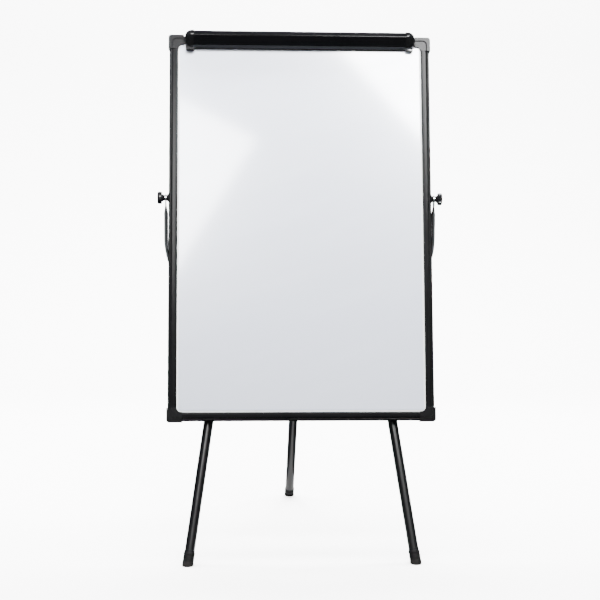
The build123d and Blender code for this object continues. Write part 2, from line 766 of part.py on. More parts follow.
with BuildPart() as clamp_rod:
    with BuildSketch(CLAMP):
        with Locations((ROD_W, ROD_V)):
            Circle(ROD_R)
    extrude(amount=BASE_HALF - 1, both=True)
keep("clamp_rod", clamp_rod)


with BuildPart() as clamp_screws:
    for screw_x in BASE_SCREWS:
        with BuildSketch(BOARD.offset(-SLOT_FRONT + 0.1)):
            with Locations((screw_x, FRAME_H + BASE_SCREW_V)):
                Circle(BASE_SCREW_R)
        extrude(amount=SLOT_FRONT - 0.1 + BASE_T)
        with BuildSketch(BOARD.offset(BASE_T)):
            with Locations((screw_x, FRAME_H + BASE_SCREW_V)):
                Circle(1.9)
        extrude(amount=1.5, taper=15)
keep("clamp_screws", clamp_screws)

# section of the bar, in front of the frame and up from its top edge
LOWER_RIDGE = (15.2, -25.2)
UPPER_RIDGE = (26.5, -5.2)
CROWN = (20.6, 6.2)
with BuildPart() as clamp_bar:
    with BuildSketch(CLAMP) as shell:
        with BuildLine():
            Polyline(
                (3.5, -29.5),
                (7.0, -29.5),
                LOWER_RIDGE,
                UPPER_RIDGE,
                (25.4, 0.8),
                CROWN,
                (13.5, 8.4),
                (5.0, 6.6),
                (5.0, 4.8),
                (13.2, 6.4),
                (19.4, 4.5),
                (23.5, -0.4),
                (24.3, -4.8),
                (14.0, -23.4),
                (6.6, -27.5),
                (3.5, -27.5),
                close=True,
            )
        make_face()
        fillet(shell.vertices().sort_by_distance((*LOWER_RIDGE, 0))[0], radius=1.2)
        fillet(shell.vertices().sort_by_distance((*UPPER_RIDGE, 0))[0], radius=2.5)
        fillet(shell.vertices().sort_by_distance((*CROWN, 0))[0], radius=3.0)
        with Locations((ROD_W, ROD_V)):
            Circle(BARREL_R)
            Circle(ROD_R + 0.06, mode=Mode.SUBTRACT)
    extrude(amount=CLAMP_HALF, both=True)
    for notch_x, notch_half in ((-NOTCH_X, NOTCH_HALF), (0.0, LUG_HALF + 0.5), (NOTCH_X, NOTCH_HALF)):
        with BuildSketch(CLAMP.offset(-notch_x)):
            with Locations((5.5, 4.0)):
                Rectangle(12.0, 12.0)
        extrude(amount=notch_half, both=True, mode=Mode.SUBTRACT)
keep("clamp_bar", clamp_bar)

with BuildPart() as clamp_grip:
    with BuildSketch(CLAMP):
        with Locations((0.8, -28.2)):
            Rectangle(5.4, 2.4)
    extrude(amount=CLAMP_HALF - 1, both=True)
keep("clamp_grip", clamp_grip)


CAP_MID_V = -10.8  # middle of the domed end, up from the frame's top edge
CAP_RISE = 20.5
CAP_FOOT_X = (2.0, 15.0)
TONGUE_LEN = 11.0


def clamp_cap(way):
    """Domed end cap of the clamp bar with a tongue inside the bar and a small foot below."""
    seam = CLAMP.offset(-way * CLAMP_HALF)
    with BuildPart() as piece:
        with BuildSketch(seam) as outline:
            with BuildLine():
                Polyline(
                    (0.6, -30.5),
                    (9.0, -30.5),
                    (16.8, -26.4),
                    (28.3, -5.6),
                    (27.2, 2.0),
                    (21.6, 7.8),
                    (14.0, 10.0),
                    (4.0, 7.6),
                    (0.6, 4.0),
                    close=True,
                )
            make_face()
            fillet(outline.vertices(), radius=1.5)
        extrude(amount=-way * (CLAMP_END - CLAMP_HALF))
        with BuildSketch(BOARD):
            with Locations((way * CLAMP_HALF, FRAME_H + CAP_MID_V)):
                Ellipse(CLAMP_END - CLAMP_HALF, CAP_RISE)
        extrude(amount=2 * CAP_RISE, mode=Mode.INTERSECT)
        with BuildSketch(CLAMP.offset(-way * (CLAMP_HALF + CAP_FOOT_X[0]))):
            with Locations((5.0, -30.0)):
                Rectangle(8.4, 8.0)
        extrude(amount=-way * (CAP_FOOT_X[1] - CAP_FOOT_X[0]))
        with BuildSketch(seam):
            with Locations((17.0, -6.0)):
                Rectangle(7.0, 12.0)
        extrude(amount=way * TONGUE_LEN)
    return piece


keep("clamp_cap_left", clamp_cap(-1))
keep("clamp_cap_right", clamp_cap(1))

PEG_R = 3.0
PEG_TOP = 16.5


def pad_hook(way):
    """Sliding hook: a T foot in the base's slot, a pad and a peg for the paper's hole."""
    centre = (way * PEG_X, FRAME_H + PEG_V)
    with BuildPart() as piece:
        with BuildSketch(BOARD.offset(1.5)):
            with Locations(centre):
                Rectangle(20, T_FOOT - 2 * GAP)
        extrude(amount=1.4)
        with BuildSketch(BOARD.offset(2.8)):
            with Locations(centre):
                Rectangle(20, T_NECK - 2 * GAP)
        extrude(amount=BASE_T + GAP - 2.8 + 0.1)
        with BuildSketch(BOARD.offset(BASE_T + GAP)):
            with Locations(centre):
                RectangleRounded(20, 8.8, 2.0)
        extrude(amount=1.5)
        with BuildSketch(BOARD.offset(BASE_T + GAP)):
            with Locations(centre):
                Circle(PEG_R)
        extrude(amount=PEG_TOP - BASE_T - GAP)
        tip = piece.faces().sort_by(Axis(board_origin, front))[-1]
        chamfer(tip.edges(), length=0.6)
    return piece


keep("pad_hook_left", pad_hook(-1))
keep("pad_hook_right", pad_hook(1))

# ---- return springs of the clamp -----------------------------------------------------------
SPRING_R = 3.1
WIRE_R = 0.5
SPRING_PITCH = 1.6
SPRING_LEN = 9.6
with BuildPart() as clamp_springs:
    for spring_x in (-NOTCH_X + 1.5, NOTCH_X - 11.5):
        rod_at = on_board(spring_x, FRAME_H + ROD_V, ROD_W)
        with BuildLine() as coil:
            Helix(SPRING_PITCH, SPRING_LEN, SPRING_R, center=rod_at, direction=(1, 0, 0))
        with BuildSketch(Plane(origin=coil.line @ 0, z_dir=coil.line % 0)):
            Circle(WIRE_R)
        sweep(path=coil.line)
keep("clamp_springs", clamp_springs)

# ---- export --------------------------------------------------------------------------------
os.makedirs("parts", exist_ok=True)
for name, solid in parts.items():
    export_step(solid, "parts/" + name + ".step")
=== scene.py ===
import bmesh
import bpy
import math

from mathutils import Matrix, Vector


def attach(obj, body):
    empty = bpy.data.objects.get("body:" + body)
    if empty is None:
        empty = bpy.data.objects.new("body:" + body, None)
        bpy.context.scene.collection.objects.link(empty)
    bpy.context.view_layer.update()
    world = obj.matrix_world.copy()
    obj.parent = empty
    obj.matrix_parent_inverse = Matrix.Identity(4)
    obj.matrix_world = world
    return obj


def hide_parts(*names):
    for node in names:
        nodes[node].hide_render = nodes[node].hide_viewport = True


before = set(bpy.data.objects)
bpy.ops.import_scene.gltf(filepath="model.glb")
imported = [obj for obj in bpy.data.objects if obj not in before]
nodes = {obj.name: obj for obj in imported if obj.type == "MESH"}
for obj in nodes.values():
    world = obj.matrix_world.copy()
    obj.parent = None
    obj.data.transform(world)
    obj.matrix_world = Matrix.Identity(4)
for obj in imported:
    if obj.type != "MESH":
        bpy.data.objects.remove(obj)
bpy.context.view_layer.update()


# ---- Outer leg tubes -------------------------------------------------------------------
# Three round steel tubes, 22 mm across, welded and drawn, then stove-enamelled gloss black.
# Each is pushed over the plug of its hinge fitting at the top and closed by a bush below.

class Socket:
    """A shader socket that can stand in a sum."""

    def __init__(self, tree, socket):
        self.tree = tree
        self.socket = socket

    def node(self, kind, settings=None, inputs=None, output=0):
        """Add one node: its settings first, then the values and links of its sockets."""
        made = self.tree.nodes.new(kind)
        for name, value in (settings or {}).items():
            setattr(made, name, value)
        for name, value in (inputs or {}).items():
            if isinstance(value, Socket):
                self.tree.links.new(value.socket, made.inputs[name])
            else:
                made.inputs[name].default_value = value
        return Socket(self.tree, made.outputs[output])

    def maths(self, operation, first, second=0.0):
        return self.node("ShaderNodeMath", {"operation": operation}, {0: first, 1: second})

    def __add__(self, other):
        return self.maths("ADD", self, other)

    def __radd__(self, other):
        return self.maths("ADD", other, self)

    def __sub__(self, other):
        return self.maths("SUBTRACT", self, other)

    def __rsub__(self, other):
        return self.maths("SUBTRACT", other, self)

    def __mul__(self, other):
        return self.maths("MULTIPLY", self, other)

    def __rmul__(self, other):
        return self.maths("MULTIPLY", other, self)

    def rise(self, low, high):
        """0 below low, 1 above high, smooth between."""
        spread = {"From Min": low, "From Max": high, "Value": self}
        return self.node("ShaderNodeMapRange", {"interpolation_type": "SMOOTHSTEP"}, spread)

    def tint(self, low, high):
        """Colour low where this is 0, high where it is 1."""
        ends = {"Factor": self, 6: (*low, 1.0), 7: (*high, 1.0)}
        return self.node("ShaderNodeMix", {"data_type": "RGBA"}, ends, 2)

    def turned(self, turn, stretch=(1, 1, 1)):
        """These coordinates turned by angles about X, Y and Z, then stretched."""
        flat = self.node("ShaderNodeMapping", {}, {"Vector": self, "Rotation": turn})
        return flat.node("ShaderNodeVectorMath", {"operation": "MULTIPLY"}, {0: flat, 1: stretch})

    def noise(self, scale, detail=3.0, roughness=0.5):
        values = {"Vector": self, "Scale": scale, "Detail": detail, "Roughness": roughness}
        return self.node("ShaderNodeTexNoise", {}, values)

    def axis(self, name):
        return self.node("ShaderNodeSeparateXYZ", {}, {0: self}, name)

    def bump(self, depth, strength=1.0):
        """Normal from this height, where a height of 1 stands depth metres proud."""
        values = {"Height": self, "Distance": depth, "Strength": strength}
        return self.node("ShaderNodeBump", {}, values)


def finish(name, **fixed):
    """New material with its plain shader values set, and the place of a point on it."""
    material = bpy.data.materials.new(name)
    material.use_nodes = True
    shader = material.node_tree.nodes["Principled BSDF"]
    for socket, value in fixed.items():
        shader.inputs[socket.replace("_", " ")].default_value = value
    where = material.node_tree.nodes.new("ShaderNodeTexCoord")
    return material, Socket(material.node_tree, where.outputs["Object"])


def drive(material, **patterns):
    """Link patterns to the shader's sockets of the same names."""
    shader = material.node_tree.nodes["Principled BSDF"]
    for socket, pattern in patterns.items():
        material.node_tree.links.new(pattern.socket, shader.inputs[socket.replace("_", " ")])


def dress(material, *names, edge=0.0, slices=2):
    """Give CAD pieces a finish, and soften their sharp edges by a radius in metres."""
    for name in names:
        piece = nodes[name]
        piece.data.materials.clear()
        piece.data.materials.append(material)
        if edge:
            soft = piece.modifiers.new("softened edges", "BEVEL")
            soft.width = edge
            soft.segments = slices
            soft.limit_method = "ANGLE"
            soft.angle_limit = math.radians(35)
            soft.harden_normals = True


SIDES = ("left", "right", "rear")
enamel, place = finish("black stoving enamel", Specular_IOR_Level=0.45, Coat_Roughness=0.1)
peel = place.noise(700.0, 2.0)
handled = place.noise(9.0, 5.0, 0.6)
rubs = place.turned((0.3, 0.1, 0.0), (1.0, 1.0, 0.06)).noise(420.0, 4.0, 0.7).rise(0.66, 0.8)
drive(
    enamel,
    Base_Color=(handled * 0.6 + rubs * 0.5)
    .rise(0.2, 0.9)
    .tint((0.003, 0.003, 0.0035), (0.009, 0.009, 0.0095)),
    Roughness=0.24 + handled * 0.1 + rubs * 0.14,
    Coat_Weight=0.06 - rubs * 0.05,
    Normal=(peel * 0.7 + rubs * -0.5).bump(0.00005, 0.6),
)
dress(enamel, *("leg_tube_" + side for side in SIDES))

# ---- Leg fittings ----------------------------------------------------------------------
# Hinge eyes, guide bushes and friction plugs, moulded in black glass-filled nylon.
# The eye turns on the hinge pin, the bush and the plug guide the inner tube.
nylon, place = finish("black glass-filled nylon", Specular_IOR_Level=0.2)
fibres = place.noise(1500.0, 3.0, 0.7)
flow = place.noise(60.0, 3.0)
drive(
    nylon,
    Base_Color=(flow * 0.6 + fibres * 0.4).tint((0.004, 0.004, 0.0045), (0.011, 0.011, 0.012)),
    Roughness=0.42 + flow * 0.12 + fibres * 0.08,
    Normal=fibres.bump(0.00006, 0.5),
)
for fitting in ("leg_knuckle_", "leg_bush_", "leg_plug_"):
    dress(nylon, *(fitting + side for side in SIDES), edge=0.0004)

# ---- Inner leg tubes -------------------------------------------------------------------
# Thin steel tubes, 16.5 mm across, bright nickel-chromed so that they slide in the bushes.
# They show only when a leg is drawn out; sliding leaves fine marks along them.
tube_chrome, place = finish("chromed inner tube", Metallic=1.0)
marks = place.turned((0.3, 0.0, 0.0), (1.0, 1.0, 0.04)).noise(900.0, 4.0, 0.65)
film = place.noise(14.0, 4.0)
drive(
    tube_chrome,
    Base_Color=film.tint((0.62, 0.63, 0.65), (0.74, 0.75, 0.77)),
    Roughness=0.1 + marks * 0.12 + film * 0.06,
    Normal=marks.bump(0.00002, 0.4),
)
dress(tube_chrome, *("leg_stem_" + side for side in SIDES))

# ---- Foot cups -------------------------------------------------------------------------
# Black rubber cups pushed over the inner tubes, moulded with a rolled lip and a worn sole.
# The sole is cut to the lean of the leg, and dust from the floor clings above it.
rubber, place = finish("black moulded rubber", Specular_IOR_Level=0.2)
grain = place.noise(1100.0, 4.0, 0.65)
blotch = place.noise(45.0, 4.0, 0.6)
height = place.axis("Z")
dusty = (1.0 - height.rise(0.002, 0.016)) * blotch.rise(0.3, 0.7)
drive(
    rubber,
    Base_Color=(dusty * 0.8 + blotch * 0.2).tint((0.004, 0.004, 0.0045), (0.022, 0.021, 0.019)),
    Roughness=0.6 + grain * 0.16 + dusty * 0.15,
    Normal=(grain * 0.6 + blotch * 0.4).bump(0.00012, 0.6),
)


def smooth(mesh, angle=35):
    """Shade a mesh smooth, with edges sharper than an angle left crisp."""
    mesh.shade_smooth()
    mesh.set_sharp_from_angle(angle=math.radians(angle))


def loft(name, rings):
    """Closed skin over rings of points, the first and last filled across."""
    count = len(rings[0])
    faces = [tuple(reversed(range(count)))]
    for row in range(len(rings) - 1):
        for step in range(count):
            a = row * count + step
            b = row * count + (step + 1) % count
            faces.append((a, b, b + count, a + count))
    last = (len(rings) - 1) * count
    faces.append(tuple(range(last, last + count)))
    mesh = bpy.data.meshes.new(name)
    mesh.from_pydata([tuple(point) for ring in rings for point in ring], [], faces)
    shape = bmesh.new()
    shape.from_mesh(mesh)
    bmesh.ops.recalc_face_normals(shape, faces=shape.faces)
    shape.to_mesh(mesh)
    shape.free()
    smooth(mesh)
    made = bpy.data.objects.new(name, mesh)
    bpy.context.scene.collection.objects.link(made)
    return made


FLUTE_SHARP = 1.5  # the higher, the narrower each flute
LEAST_RADIUS = 0.00001


def lathe(name, profile, start, along, flutes=0, steps=72):
    """Turned piece from (distance, radius, flute depth) steps along an axis."""
    along = Vector(along).normalized()
    sideways = along.orthogonal().normalized()
    upwards = along.cross(sideways)
    rings = []
    for distance, radius, depth in profile:
        ring = []
        for step in range(steps):
            turn = 2 * math.pi * step / steps
            scoop = max(0.0, math.cos(flutes * turn)) ** FLUTE_SHARP if flutes else 0.0
            reach = max(radius - depth * scoop, LEAST_RADIUS)
            out = sideways * math.cos(turn) + upwards * math.sin(turn)
            ring.append(Vector(start) + along * distance + out * reach)
        rings.append(ring)
    return loft(name, rings)


# distance up the leg and radius in millimetres: a spare length that the floor cuts off,
# three ribs, waist, the lip round the tube's bush, and the socket for the inner tube
FOOT_STEPS = ((-14.0, 0.1), (-14.0, 11.3), (-11.0, 11.85), (-0.8, 12.2), (1.2, 12.5), (7.2, 12.6))
RIBS = (9.0, 12.0, 15.0)
LIP_STEPS = ((23.0, 11.9), (24.0, 12.0), (24.7, 12.6), (28.6, 12.5), (29.3, 12.3), (29.4, 12.0))
SOCKET_STEPS = ((29.2, 11.75), (27.9, 11.75), (27.9, 8.32), (10.2, 8.32), (10.2, 0.1))
RIB_HALF = 0.9
RIB_FLANK = 0.6
RIB_EDGE_R = (12.45, 12.35)
RIB_GROOVE_R = (11.95, 11.9)
SOLE_ROUND = 0.0009
MERGE = 0.00002
ON_FLOOR = 1e-6
SHARP_EDGE = 0.5  # radians
foot_steps = list(FOOT_STEPS)
for rib in RIBS:
    foot_steps += [
        (rib - RIB_HALF, RIB_EDGE_R[0]),
        (rib - RIB_FLANK, RIB_GROOVE_R[0]),
        (rib + RIB_FLANK, RIB_GROOVE_R[1]),
        (rib + RIB_HALF, RIB_EDGE_R[1]),
    ]
foot_steps += [*LIP_STEPS, *SOCKET_STEPS]
LEGS = {
    "left": ((-0.2528, -0.323, 0.0), (-0.1764, -0.1617, 0.518)),
    "right": ((0.2528, -0.323, 0.0), (0.1764, -0.1617, 0.518)),
    "rear": ((0.0, 0.3208, 0.0), (0.0, -0.095, 0.518)),
}
for side, (foot, hinge) in LEGS.items():
    profile = [(distance / 1000, radius / 1000, 0.0) for distance, radius in foot_steps]
    along = (Vector(hinge) - Vector(foot)).normalized()
    cup = lathe("foot_cup_" + side, profile, foot, along)
    shape = bmesh.new()
    shape.from_mesh(cup.data)
    # the spare length is drawn up to the floor, which leaves a flat sole
    for corner in shape.verts:
        if corner.co.z < 0.0:
            corner.co += along * (-corner.co.z / along.z)
    bmesh.ops.remove_doubles(shape, verts=shape.verts, dist=MERGE)
    rim = []
    for edge in shape.edges:
        on_floor = max(corner.co.z for corner in edge.verts) < ON_FLOOR
        if on_floor and edge.calc_face_angle(0.0) > SHARP_EDGE:
            rim.append(edge)
    bmesh.ops.bevel(shape, geom=rim, offset=SOLE_ROUND, segments=3, affect="EDGES", profile=0.5)
    shape.to_mesh(cup.data)
    shape.free()
    smooth(cup.data)
    cup.data.materials.append(rubber)
    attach(cup, "foot_" + side)
    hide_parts("leg_foot_" + side)

# ---- Leg hinge brackets ----------------------------------------------------------------
# Die-cast zinc brackets, shot-blasted and powder-coated black, keyed into the head beam.
# Two ears on each hold the leg's eye on a riveted steel pin.
casting, place = finish("powder-coated casting", Specular_IOR_Level=0.25)
pebble = place.noise(650.0, 3.0, 0.6)
cloud = place.noise(30.0, 3.0)
drive(
    casting,
    Base_Color=cloud.tint((0.005, 0.005, 0.0055), (0.011, 0.011, 0.0115)),
    Roughness=0.38 + pebble * 0.14 + cloud * 0.08,
    Normal=pebble.bump(0.00015, 0.7),
)
dress(casting, "bracket_left", "bracket_right", "bracket_rear", edge=0.0008, slices=3)

# ---- Pins, bolts, studs and rod --------------------------------------------------------
# Turned steel with a bright zinc plating: hinge pins, yoke bolts, knob studs, clamp rod.
# Plating leaves a faint blue and yellow bloom; turning leaves fine rings.
zinc, place = finish("zinc-plated steel", Metallic=1.0)
bloom = place.noise(120.0, 3.0)
turned_rings = place.noise(2400.0, 2.0)
drive(
    zinc,
    Base_Color=bloom.tint((0.55, 0.57, 0.62), (0.7, 0.68, 0.6)),
    Roughness=0.24 + bloom * 0.12 + turned_rings * 0.08,
    Normal=turned_rings.bump(0.00002, 0.4),
)
dress(zinc, "hinge_pins", "yoke_bolts", "clamp_rod", "pivot_stud_left", "pivot_stud_right", edge=0.0003)

# ---- Head beam -------------------------------------------------------------------------
# Square-section steel tube across the back, black enamelled, drilled for the yoke bolts.
# The brackets' spigots close its two ends and the rear bracket sits on its back.
dress(enamel, "head_beam", edge=0.0006)

# ---- Yoke ------------------------------------------------------------------------------
# Round steel tube, 9.5 mm across, bent to a wide U, polished and chromed.
# Its ends are flattened and drilled for the knob studs; its foot is bolted to the beam.
yoke_chrome, place = finish("polished chrome tube", Metallic=1.0)
polish = place.turned((0.0, 0.0, 0.0), (1.0, 1.0, 0.1)).noise(1100.0, 4.0, 0.6)
finger = place.noise(26.0, 5.0, 0.65).rise(0.45, 0.75)
drive(
    yoke_chrome,
    Base_Color=finger.tint((0.8, 0.81, 0.83), (0.66, 0.67, 0.69)),
    Roughness=0.05 + polish * 0.06 + finger * 0.1,
    Normal=polish.bump(0.000015, 0.4),
)
dress(yoke_chrome, "yoke", edge=0.0004, slices=3)

# ---- Board core ------------------------------------------------------------------------
# Honeycomb board faced with white satin paper, 13 mm thick, held in the rails' slot.
# Its face shows as the narrow bright margin round the writing sheet.
LEAN = math.radians(11.3)
facing, place = finish("white core facing", Specular_IOR_Level=0.4)
pulp = place.noise(900.0, 4.0, 0.6)
age = place.noise(7.0, 4.0)
drive(
    facing,
    Base_Color=(age * 0.7 + pulp * 0.3).tint((0.93, 0.94, 0.95), (0.97, 0.975, 0.98)),
    Roughness=0.42 + pulp * 0.12,
    Normal=pulp.bump(0.00003, 0.4),
)
dress(facing, "board_core")

# ---- Writing sheet ---------------------------------------------------------------------
# Thin steel sheet with a glossy white enamel, glued to the core; magnets hold on it.
# Wiping leaves faint arcs in the gloss, and the enamel has a slight ripple.
white, place = finish("white writing enamel", Specular_IOR_Level=0.6, Coat_Roughness=0.07, Coat_IOR=1.8)
flat = place.turned((LEAN, 0.0, 0.0))
swing = flat.turned((0.0, 0.35, 0.0), (1.0, 1.0, 7.0))
wipes = swing.noise(5.0, 6.0, 0.62)
ripple = flat.noise(3.2, 2.0)
fine = flat.noise(480.0, 2.0)
drive(
    white,
    Base_Color=(wipes * 0.6 + ripple * 0.4).tint((0.74, 0.79, 0.92), (0.77, 0.82, 0.94)),
    Roughness=0.2 + wipes.rise(0.35, 0.7) * 0.05 + fine * 0.03,
    Coat_Weight=0.9 - wipes.rise(0.4, 0.75) * 0.1,
    Normal=(ripple * 0.9 + fine * 0.004).bump(0.0006, 0.25),
)
dress(white, "writing_sheet")

# ---- Back sheet ------------------------------------------------------------------------
# Galvanised steel sheet that stiffens the board, left with its natural zinc spangle.
# It shows over the whole back of the board inside the rails.
galvanised, place = finish("galvanised sheet", Metallic=0.45)
flat = place.turned((LEAN, 0.0, 0.0))
spangle = {"Vector": flat, "Scale": 70.0}
crystals = flat.node("ShaderNodeTexVoronoi", {"feature": "F1"}, spangle, "Color").axis("X")
borders = flat.node("ShaderNodeTexVoronoi", {"feature": "DISTANCE_TO_EDGE"}, spangle)
rolled = flat.turned((0, 0, 0), (1.0, 1.0, 0.03)).noise(600.0, 3.0)
drive(
    galvanised,
    Base_Color=(crystals * 0.7 + rolled * 0.3).tint((0.42, 0.44, 0.46), (0.6, 0.62, 0.64)),
    Roughness=0.34 + crystals * 0.16 + rolled * 0.06,
    Normal=(borders.rise(0.0, 0.05) * 0.5 + rolled * 0.4).bump(0.00003, 0.5),
)
dress(galvanised, "back_sheet")

# ---- Frame rails -----------------------------------------------------------------------
# Extruded aluminium, satin black anodised, cut square and pushed on the corner spigots.
# A crowned face, a matt groove and a rounded outer strip; a lip inside grips the panel.
UP_BOARD = Vector((0.0, math.sin(LEAN), math.cos(LEAN)))
FRONT = Vector((0.0, -math.cos(LEAN), math.sin(LEAN)))
BOARD_FOOT = Vector((0.0, -0.2685, 0.3115))
FRAME_HALF = 0.299
FRAME_TALL = 0.880


def on_board(x, v, w):
    """Point x across, v up the board and w in front of the frame, in metres."""
    return BOARD_FOOT + Vector((x, 0.0, 0.0)) + UP_BOARD * v + FRONT * w


def arc(across, deep, radius, first, last, steps=6):
    """Points of a round edge in a section, between two angles in degrees."""
    points = []
    for step in range(steps + 1):
        turn = math.radians(first + (last - first) * step / steps)
        points.append((across + radius * math.cos(turn), deep + radius * math.sin(turn)))
    return points


# in from the outer edge and out from the face, in millimetres
rail_section = [
    (11.0, -16.4),
    (20.0, -16.4),
    (20.0, -18.0),
    *arc(1.0, -17.0, 1.0, 270, 180, 3),
    *arc(3.6, -5.6, 3.6, 180, 92, 8),
    *arc(4.8, -2.4, 0.4, 90, 0, 2),
    (5.2, -3.6),
    (8.0, -3.6),
    *arc(8.7, -0.75, 0.7, 180, 95, 5),
]
CROWN_START = 8.7
CROWN_STEP = 0.8
CROWN_MID = 4.4
CROWN_DROP = 0.0055
for step in range(1, 12):
    across = step * CROWN_STEP
    rail_section.append((CROWN_START + across, -0.05 - CROWN_DROP * (across - CROWN_MID) ** 2))
rail_section += [(18.4, -0.45), (18.7, -1.1), (20.0, -1.25), (20.0, -2.5), (11.0, -2.5)]

CORNER_X = 0.033
CORNER_V = 0.030
SIDE_ENDS = (CORNER_V, FRAME_TALL - CORNER_V)
LEVEL_ENDS = (CORNER_X - FRAME_HALF, FRAME_HALF - CORNER_X)
RIGHTWARD = Vector((1.0, 0.0, 0.0))
RAILS = {
    "rail_left": ([(-FRAME_HALF, v) for v in SIDE_ENDS], RIGHTWARD, "upright"),
    "rail_right": ([(FRAME_HALF, v) for v in SIDE_ENDS], -RIGHTWARD, "upright"),
    "rail_bottom": ([(x, 0.0) for x in LEVEL_ENDS], UP_BOARD, "level"),
    "rail_top": ([(x, FRAME_TALL) for x in LEVEL_ENDS], -UP_BOARD, "level"),
}
BOARD_FACE = 0.32432  # how far the frame's face lies along the turned Y axis


def grooved(flat, face, floor):
    """1 below the height floor, 0 above the height face, in metres from the frame's face."""
    front = -BOARD_FACE - flat.axis("Y")
    return 1.0 - front.rise(floor, face)


anodised = {}
for run, stretch in (("upright", (1.0, 1.0, 0.012)), ("level", (0.012, 1.0, 1.0))):
    anodised[run], place = finish("black anodised rail, " + run, Specular_IOR_Level=0.06)
    flat = place.turned((LEAN, 0.0, 0.0))
    lines = flat.turned((0, 0, 0), stretch).noise(1500.0, 3.0, 0.6)
    dye = flat.noise(11.0, 4.0, 0.55)
    hidden = grooved(flat, -0.0024, -0.0032)
    drive(
        anodised[run],
        Base_Color=(dye * 0.6 + lines * 0.4).tint((0.003, 0.003, 0.0035), (0.009, 0.009, 0.0095)),
        Roughness=0.13 + dye * 0.06 + lines * 0.06 + hidden * 0.6,
        Normal=lines.bump(0.00004, 0.5),
    )
for name, (ends, inward, run) in RAILS.items():
    rings = []
    for x, v in ends:
        ring = []
        for across, deep in rail_section:
            ring.append(on_board(x, v, deep / 1000) + inward * (across / 1000))
        rings.append(ring)
    rail = loft("extruded_" + name, rings)
    rail.data.materials.append(anodised[run])
    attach(rail, "board")
    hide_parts(name)
dress(anodised["level"], "clamp_base", edge=0.00025)

# ---- Corner pieces ---------------------------------------------------------------------
# Black ABS mouldings with a fine spark texture, plugged into the ends of two rails.
# A curved groove carries the rails' groove round, and two screws at the back hold each.
moulding, place = finish("black textured moulding", Specular_IOR_Level=0.1)
spark = place.noise(1250.0, 3.0, 0.7)
worn = place.noise(28.0, 4.0, 0.6)
hidden = grooved(place.turned((LEAN, 0.0, 0.0)), 0.0003, -0.0003)
drive(
    moulding,
    Base_Color=(worn * 0.6 + spark * 0.4).tint((0.004, 0.004, 0.0045), (0.012, 0.012, 0.0125)),
    Roughness=0.17 + spark * 0.08 + worn * 0.06 + hidden * 0.6,
    Normal=spark.bump(0.00008, 0.55),
)
CORNERS = ("corner_top_left", "corner_top_right", "corner_bottom_left", "corner_bottom_right")
dress(moulding, *CORNERS, "pad_hook_left", "pad_hook_right", edge=0.0003)
dress(zinc, "corner_screws", "clamp_screws", edge=0.0002)

# ---- Pivot inserts ---------------------------------------------------------------------
# Black nylon bushes moulded round a threaded sleeve and pressed into the side rails.
# The conical collar keeps the frame clear of the yoke.
dress(nylon, "pivot_insert_left", "pivot_insert_right", edge=0.0003)

# ---- Tilt knobs ------------------------------------------------------------------------
# Fluted clamping knobs moulded in gloss black phenolic round the head of their stud.
# The conical neck bears on the yoke; grip leaves the flutes a little duller.
phenolic, place = finish("gloss black phenolic", Specular_IOR_Level=0.2, Coat_Roughness=0.05)
gate = place.noise(90.0, 4.0, 0.6)
hairs = place.noise(1300.0, 3.0, 0.7).rise(0.6, 0.75)
drive(
    phenolic,
    Base_Color=gate.tint((0.002, 0.002, 0.0025), (0.006, 0.006, 0.0065)),
    Roughness=0.13 + gate * 0.1 + hairs * 0.1,
    Coat_Weight=0.5 - hairs * 0.2,
    Normal=(gate * 0.3 + hairs * -0.5).bump(0.00004, 0.5),
)
# distance out from the yoke, radius and flute depth: neck, fluted rim, crowned face, centre
KNOB_STEPS = (
    (0.0, 4.3, 0.0),
    (0.0, 5.4, 0.0),
    (0.4, 5.8, 0.0),
    (6.4, 8.4, 0.0),
    (7.0, 9.2, 0.2),
    (7.2, 12.4, 1.6),
    (7.8, 13.4, 1.9),
    (9.0, 13.9, 2.1),
    (14.2, 14.0, 2.1),
    (15.6, 13.5, 1.9),
    (16.6, 12.3, 1.5),
    (17.1, 10.4, 0.7),
    (17.3, 8.0, 0.0),
    (17.3, 6.6, 0.0),
    (16.9, 6.2, 0.0),
    (16.8, 2.6, 0.0),
    (17.0, 0.3, 0.0),
)
YOKE_FACE = 0.3074
PIVOT = on_board(0.0, 0.505, -0.0108)
for side, way in (("left", -1), ("right", 1)):
    profile = [tuple(value / 1000 for value in step) for step in KNOB_STEPS]
    start = PIVOT + Vector((way * YOKE_FACE, 0.0, 0.0))
    grip = lathe("fluted_knob_" + side, profile, start, (way, 0, 0), flutes=9, steps=144)
    grip.data.materials.append(phenolic)
    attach(grip, "knob_" + side)
    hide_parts("knob_" + side)

# ---- Rest buffers ----------------------------------------------------------------------
# Tapered rubber buffers screwed to the back of the lower rail.
# They rest on the front legs when the board stands at its working lean.
dress(rubber, "rest_buffers", edge=0.0006)

# ---- Clamp springs ---------------------------------------------------------------------
# Two small coils of hard-drawn spring steel on the clamp's rod, oiled dark.
# They press the bar down on the paper.
music_wire, place = finish("oiled spring wire", Metallic=1.0)
drawn = place.noise(700.0, 3.0)
drive(
    music_wire,
    Base_Color=drawn.tint((0.2, 0.2, 0.21), (0.38, 0.38, 0.39)),
    Roughness=0.28 + drawn * 0.14,
    Normal=drawn.bump(0.00002, 0.4),
)
dress(music_wire, "clamp_springs")

